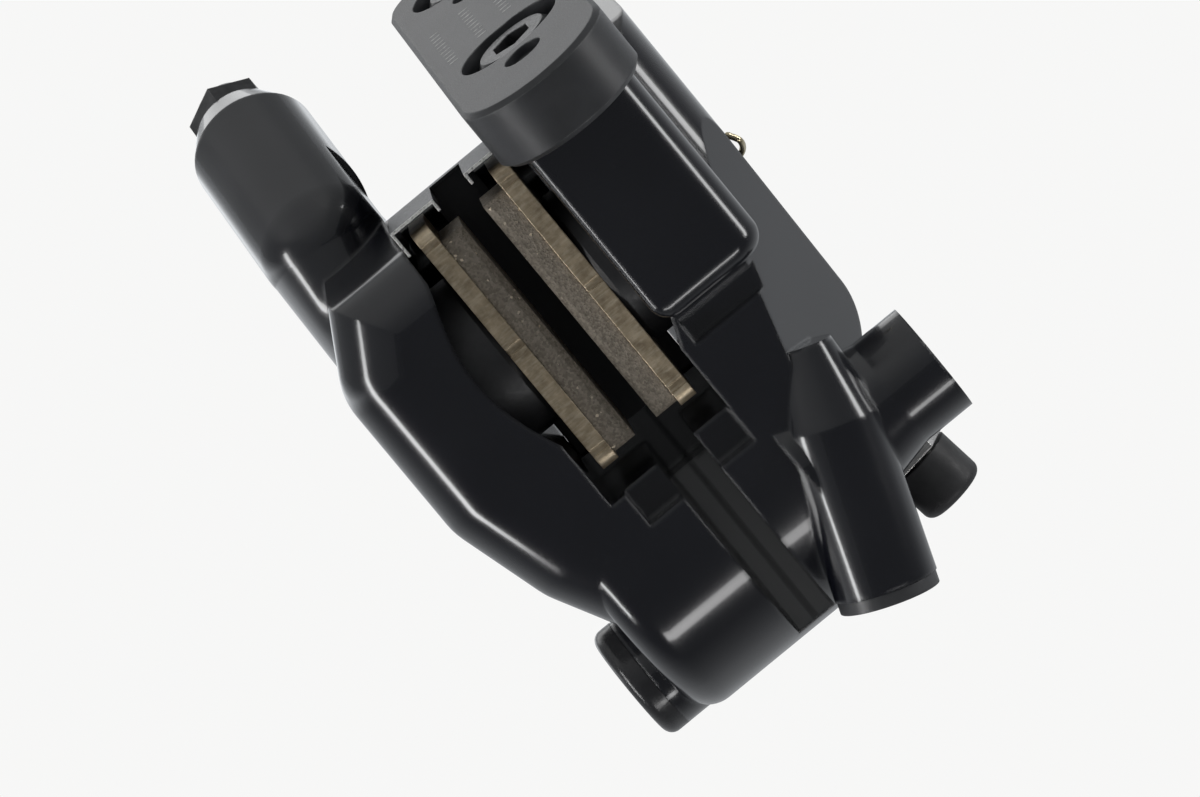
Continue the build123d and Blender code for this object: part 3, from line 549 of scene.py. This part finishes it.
# Rows of ticks: y, first x and last x in millimetres, and how far the print stands off the face
TICK_ROWS = ((-5.6, -2.4, 12.6), (-1.85, -1.0, 12.6), (1.55, 0.4, 12.6))
TICK_PROUD = 0.01 * MM


def tick_points(x, y, width, reach):
    """A flat tick with rounded ends: half width = width / 2 * sqrt(1 - |t| ** 6), t in -1..1 along Y."""
    t = np.linspace(-1, 1, 13)[:, None]
    side = np.linspace(-1, 1, 3)[None, :]
    half = width / 2 * np.sqrt(1 - np.abs(t) ** 6)
    flat = np.zeros((len(t), side.size))
    return np.stack([x + side * half, y + t * reach / 2 + flat, flat - TICK_PROUD], axis=-1)


class CALIPER_OT_ticks(bpy.types.Operator):
    """Print three rows of plain ticks on the plate's frame-side face"""
    bl_idname = "caliper.ticks"
    bl_label = "Ticks"

    def execute(self, context):
        sizes = context.scene.caliper_sizes
        for number, (y, first, last) in enumerate(TICK_ROWS, 1):
            places = np.arange(first * MM, last * MM, sizes.tick_pitch)
            grids = [tick_points(x, y * MM, sizes.tick_width, sizes.tick_length) for x in places]
            name = f"plate_tick_row_{number}"
            grid_object(name, grids, "caliper", made_material("tick_print"))
        return {"FINISHED"}


# The wire clip's free end

# From its leg in the notch to the hook outside, in the caliper's frame in millimetres
CLIP_TAIL = ((5.4, 22.0, 0.9), (4.6, 23.4, 0.8), (3.7, 24.6, 0.3), (2.2, 24.9, -0.7), (1.9, 24.3, -1.9))

# A direction that the wire never takes, from which the rings round it are turned
CLIP_UPRIGHT = np.array([0.0, 0.2, 1.0])


class CALIPER_OT_clip_tail(bpy.types.Operator):
    """Bend the wire clip's free end into its hook"""
    bl_idname = "caliper.clip_tail"
    bl_label = "Clip tail"

    def execute(self, context):
        path = [np.array(from_caliper(*spot)) for spot in CLIP_TAIL]
        wire = tube_points(path, context.scene.caliper_sizes.wire_radius)
        material = made_material("clip_wire")
        grid_object("pad_axle_clip_tail", [wire], "caliper", material, True)
        return {"FINISHED"}


# The pad spring's two lower leaves

# In the caliper's frame: place beyond the pads, edges across, start of the leg, tip and fold, and the foot
LEAF_PLACE = 9.5 * MM
LEAF_ACROSS = (2.6 * MM, 7.38 * MM)
LEAF_LEG = 5.2 * MM
LEAF_TIP = 4.9 * MM
LEAF_FOLD = 14.6 * MM
LEAF_FOOT = 1.7 * MM
LEAF_STEP = 0.1 * MM


def leaf_grids(way, thickness, curl):
    """The faces of one leaf, whose free tip curls away from the pads; way is 1 outboard and -1 inboard.

    Each face is x = place + curl * t ** 3 over z from the fold down to low(y), with t from 0 at the fold
    to 1 at the tip. low(y) drops from the foot's edge to the leg's tip with the share
    1 / (1 + exp(-(y - leg) / step)).
    """
    y = np.linspace(*LEAF_ACROSS, 25)[:, None]
    down = np.linspace(0, 1, 17)[None, :]
    foot = LEAF_FOLD - LEAF_FOOT
    low = foot - (foot - LEAF_TIP) / (1 + np.exp(-(y - LEAF_LEG) / LEAF_STEP))
    z = LEAF_FOLD + (low - LEAF_FOLD) * down
    tip = np.clip((LEAF_FOLD - z) / (LEAF_FOLD - LEAF_TIP), 0, 1) ** 3
    near = np.stack([LEAF_PLACE + curl * tip, way * y + 0 * z, z], axis=-1)
    far = near + np.array([thickness, 0, 0])
    rim = np.concatenate([near, far[:, ::-1], near[:, :1]], axis=1)
    return rim, np.stack([near[0], far[0]]), np.stack([near[-1], far[-1]])


class CALIPER_OT_spring_leaves(bpy.types.Operator):
    """Add the pad spring's lower leaves beyond the pads"""
    bl_idname = "caliper.spring_leaves"
    bl_label = "Spring leaves"

    def execute(self, context):
        sizes = context.scene.caliper_sizes
        turn = np.array(CALIPER.to_3x3())
        origin = np.array(CALIPER.translation)
        material = made_material("black_spring_steel")
        for name, way in (("inboard_spring_leaf", -1), ("outboard_spring_leaf", 1)):
            grids = leaf_grids(way, sizes.leaf_thickness, sizes.leaf_curl)
            placed = [grid @ turn.T + origin for grid in grids]
            weld(grid_object(name, placed, "caliper", material))
        return {"FINISHED"}


# Stage, lights and camera

# The tent: its strength behind and before the part, and the band's place, width and gain
BEHIND_FULL = -0.5
BEHIND_NONE = 0.15
TENT_BEHIND = 0.42
TENT_FRONT = 0.13
BAND_PLACE = -0.15
BAND_WIDTH = 0.22
BAND_GAIN = 2.5

# Lamps: name, place outboard, away and back from the part's middle, width and length, and brightness
LAMPS = (
    ("key", (-0.06, -0.42, 0.44), (0.34, 0.14), 11.0),
    ("outboard_strip", (0.55, 0.0, 0.16), (0.10, 0.50), 8.0),
    ("inboard_strip", (-0.55, 0.0, 0.20), (0.08, 0.50), 12.0),
    ("low_fill", (0.0, 0.50, 0.30), (0.40, 0.08), 6.0),
    ("behind_top", (-0.05, -0.42, -0.52), (0.60, 0.30), 1.0),
)

# Half the floor's side, and its height
FLOOR_REACH = 2.0
FLOOR_HEIGHT = -0.45


def make_lamp(name, place, size, brightness):
    """An area lamp that faces the part's middle, with its length along AWAY."""
    outboard, away, back = place
    width, reach = size
    facing = OUTBOARD * outboard + AWAY * away + CAMERA_BACK * back
    spot = PART_MIDDLE + facing
    facing = facing.normalized()
    side = AWAY.cross(facing).normalized()
    light = bpy.data.lights.new(name, "AREA")
    light.shape = "RECTANGLE"
    light.size = width
    light.size_y = reach
    light.energy = brightness * math.pi * width * reach
    lamp = bpy.data.objects.new(name, light)
    turn = Matrix((side, facing.cross(side), facing)).transposed().to_4x4()
    lamp.matrix_world = Matrix.Translation(spot) @ turn
    bpy.context.scene.collection.objects.link(lamp)


def make_world(stage):
    """A near-white background for the camera and a darker tent for the light.

    The tent is dim in front, brighter behind the part, and has one soft bright band round it.
    """
    world = bpy.data.worlds.new("studio")
    bpy.context.scene.world = world
    world.use_nodes = True
    world.node_tree.nodes.clear()
    sky = Nodes(world.node_tree)
    seen = sky.node("Background")
    seen.inputs["Color"].default_value = (*stage.backdrop, 1)
    way = sky.node("TexCoord").outputs["Generated"]
    behind = sky.ramp(sky.dot(way, CAMERA_BACK), BEHIND_FULL, BEHIND_NONE, TENT_BEHIND, TENT_FRONT)
    height = sky.math("ABSOLUTE", sky.math("SUBTRACT", sky.dot(way, AWAY), BAND_PLACE), 0)
    band = sky.ramp(height, 0, BAND_WIDTH, 1, 0)
    band = sky.times(band, sky.times(band, BAND_GAIN))
    tent = sky.node("Background")
    tent.inputs["Color"].default_value = (*stage.tent, 1)
    sky.feed(tent.inputs["Strength"], sky.times(behind, sky.math("ADD", band, 1)))
    mix = sky.node("MixShader")
    sky.feed(mix.inputs[0], sky.node("LightPath").outputs["Is Camera Ray"])
    sky.feed(mix.inputs[1], tent.outputs[0])
    sky.feed(mix.inputs[2], seen.outputs[0])
    sky.feed(sky.node("OutputWorld").inputs[0], mix.outputs[0])


def make_floor(stage):
    """A sheet of pale paper well below the part, that keeps its paleness for the camera."""
    mesh = bpy.data.meshes.new("floor")
    square = ((-1, -1), (1, -1), (1, 1), (-1, 1))
    corners = [(x * FLOOR_REACH, y * FLOOR_REACH, FLOOR_HEIGHT) for x, y in square]
    mesh.from_pydata(corners, [], [(0, 1, 2, 3)])
    floor = bpy.data.objects.new("floor", mesh)
    paper = Surface("floor_paper", specular=0.2)
    tone = paper.mix(paper.noise(8, detail=3), stage.paper_deep, stage.paper_pale)
    paper.feed(paper.shader.inputs["Base Color"], tone)
    paper.feed(paper.shader.inputs["Roughness"], 0.8)
    paper.feed(paper.shader.inputs["Emission Color"], (*stage.floor_glow_tone, 1))
    shown = paper.times(paper.node("LightPath").outputs["Is Camera Ray"], stage.floor_glow)
    paper.feed(paper.shader.inputs["Emission Strength"], shown)
    mesh.materials.append(paper.material)
    bpy.context.scene.collection.objects.link(floor)


def make_camera():
    """The camera at the photograph's place and angle."""
    lens = bpy.data.cameras.new("camera")
    lens.sensor_width = CAMERA_SENSOR
    lens.lens = CAMERA_LENS
    lens.clip_start = CAMERA_CLIP
    camera = bpy.data.objects.new("camera", lens)
    turn = Matrix((CAMERA_RIGHT, CAMERA_UP, CAMERA_BACK)).transposed().to_4x4()
    camera.matrix_world = Matrix.Translation(CAMERA_PLACE) @ turn
    bpy.context.scene.collection.objects.link(camera)
    bpy.context.scene.camera = camera


class CALIPER_OT_stage(bpy.types.Operator):
    """Make the floor, lights, world and camera"""
    bl_idname = "caliper.stage"
    bl_label = "Stage"

    def execute(self, context):
        stage = context.scene.caliper_stage
        for name, place, size, brightness in LAMPS:
            make_lamp(name, place, size, brightness * stage.lamps)
        make_world(stage)
        make_floor(stage)
        make_camera()
        context.scene.view_settings.view_transform = "Standard"
        return {"FINISHED"}


# The add-on

GROUPS = {"caliper_sizes": CaliperSizes, "caliper_colours": CaliperColours, "caliper_stage": CaliperStage}
STEPS = (CALIPER_OT_materials, CALIPER_OT_frame_threads, CALIPER_OT_ticks, CALIPER_OT_clip_tail,
         CALIPER_OT_spring_leaves, CALIPER_OT_stage)


class CALIPER_PT_panel(bpy.types.Panel):
    """The caliper's settings and steps"""
    bl_label = "Caliper"
    bl_space_type = "VIEW_3D"
    bl_region_type = "UI"
    bl_category = "Caliper"

    def draw(self, context):
        for group, kind in GROUPS.items():
            box = self.layout.box()
            for setting in kind.__annotations__:
                box.prop(getattr(context.scene, group), setting)
        for step in STEPS:
            self.layout.operator(step.bl_idname)


CLASSES = (*GROUPS.values(), *STEPS, CALIPER_PT_panel)


def register():
    """Make the settings, the operators and the panel known to Blender."""
    for kind in CLASSES:
        bpy.utils.register_class(kind)
    for name, kind in GROUPS.items():
        setattr(bpy.types.Scene, name, bpy.props.PointerProperty(type=kind))


def unregister():
    """Take them out again, in the opposite order."""
    for name in GROUPS:
        delattr(bpy.types.Scene, name)
    for kind in reversed(CLASSES):
        bpy.utils.unregister_class(kind)


def main():
    """Run every step in order."""
    register()
    bpy.ops.caliper.materials()
    bpy.ops.caliper.frame_threads()
    bpy.ops.caliper.ticks()
    bpy.ops.caliper.clip_tail()
    bpy.ops.caliper.spring_leaves()
    bpy.ops.caliper.stage()


if __name__ == "__main__":
    main()
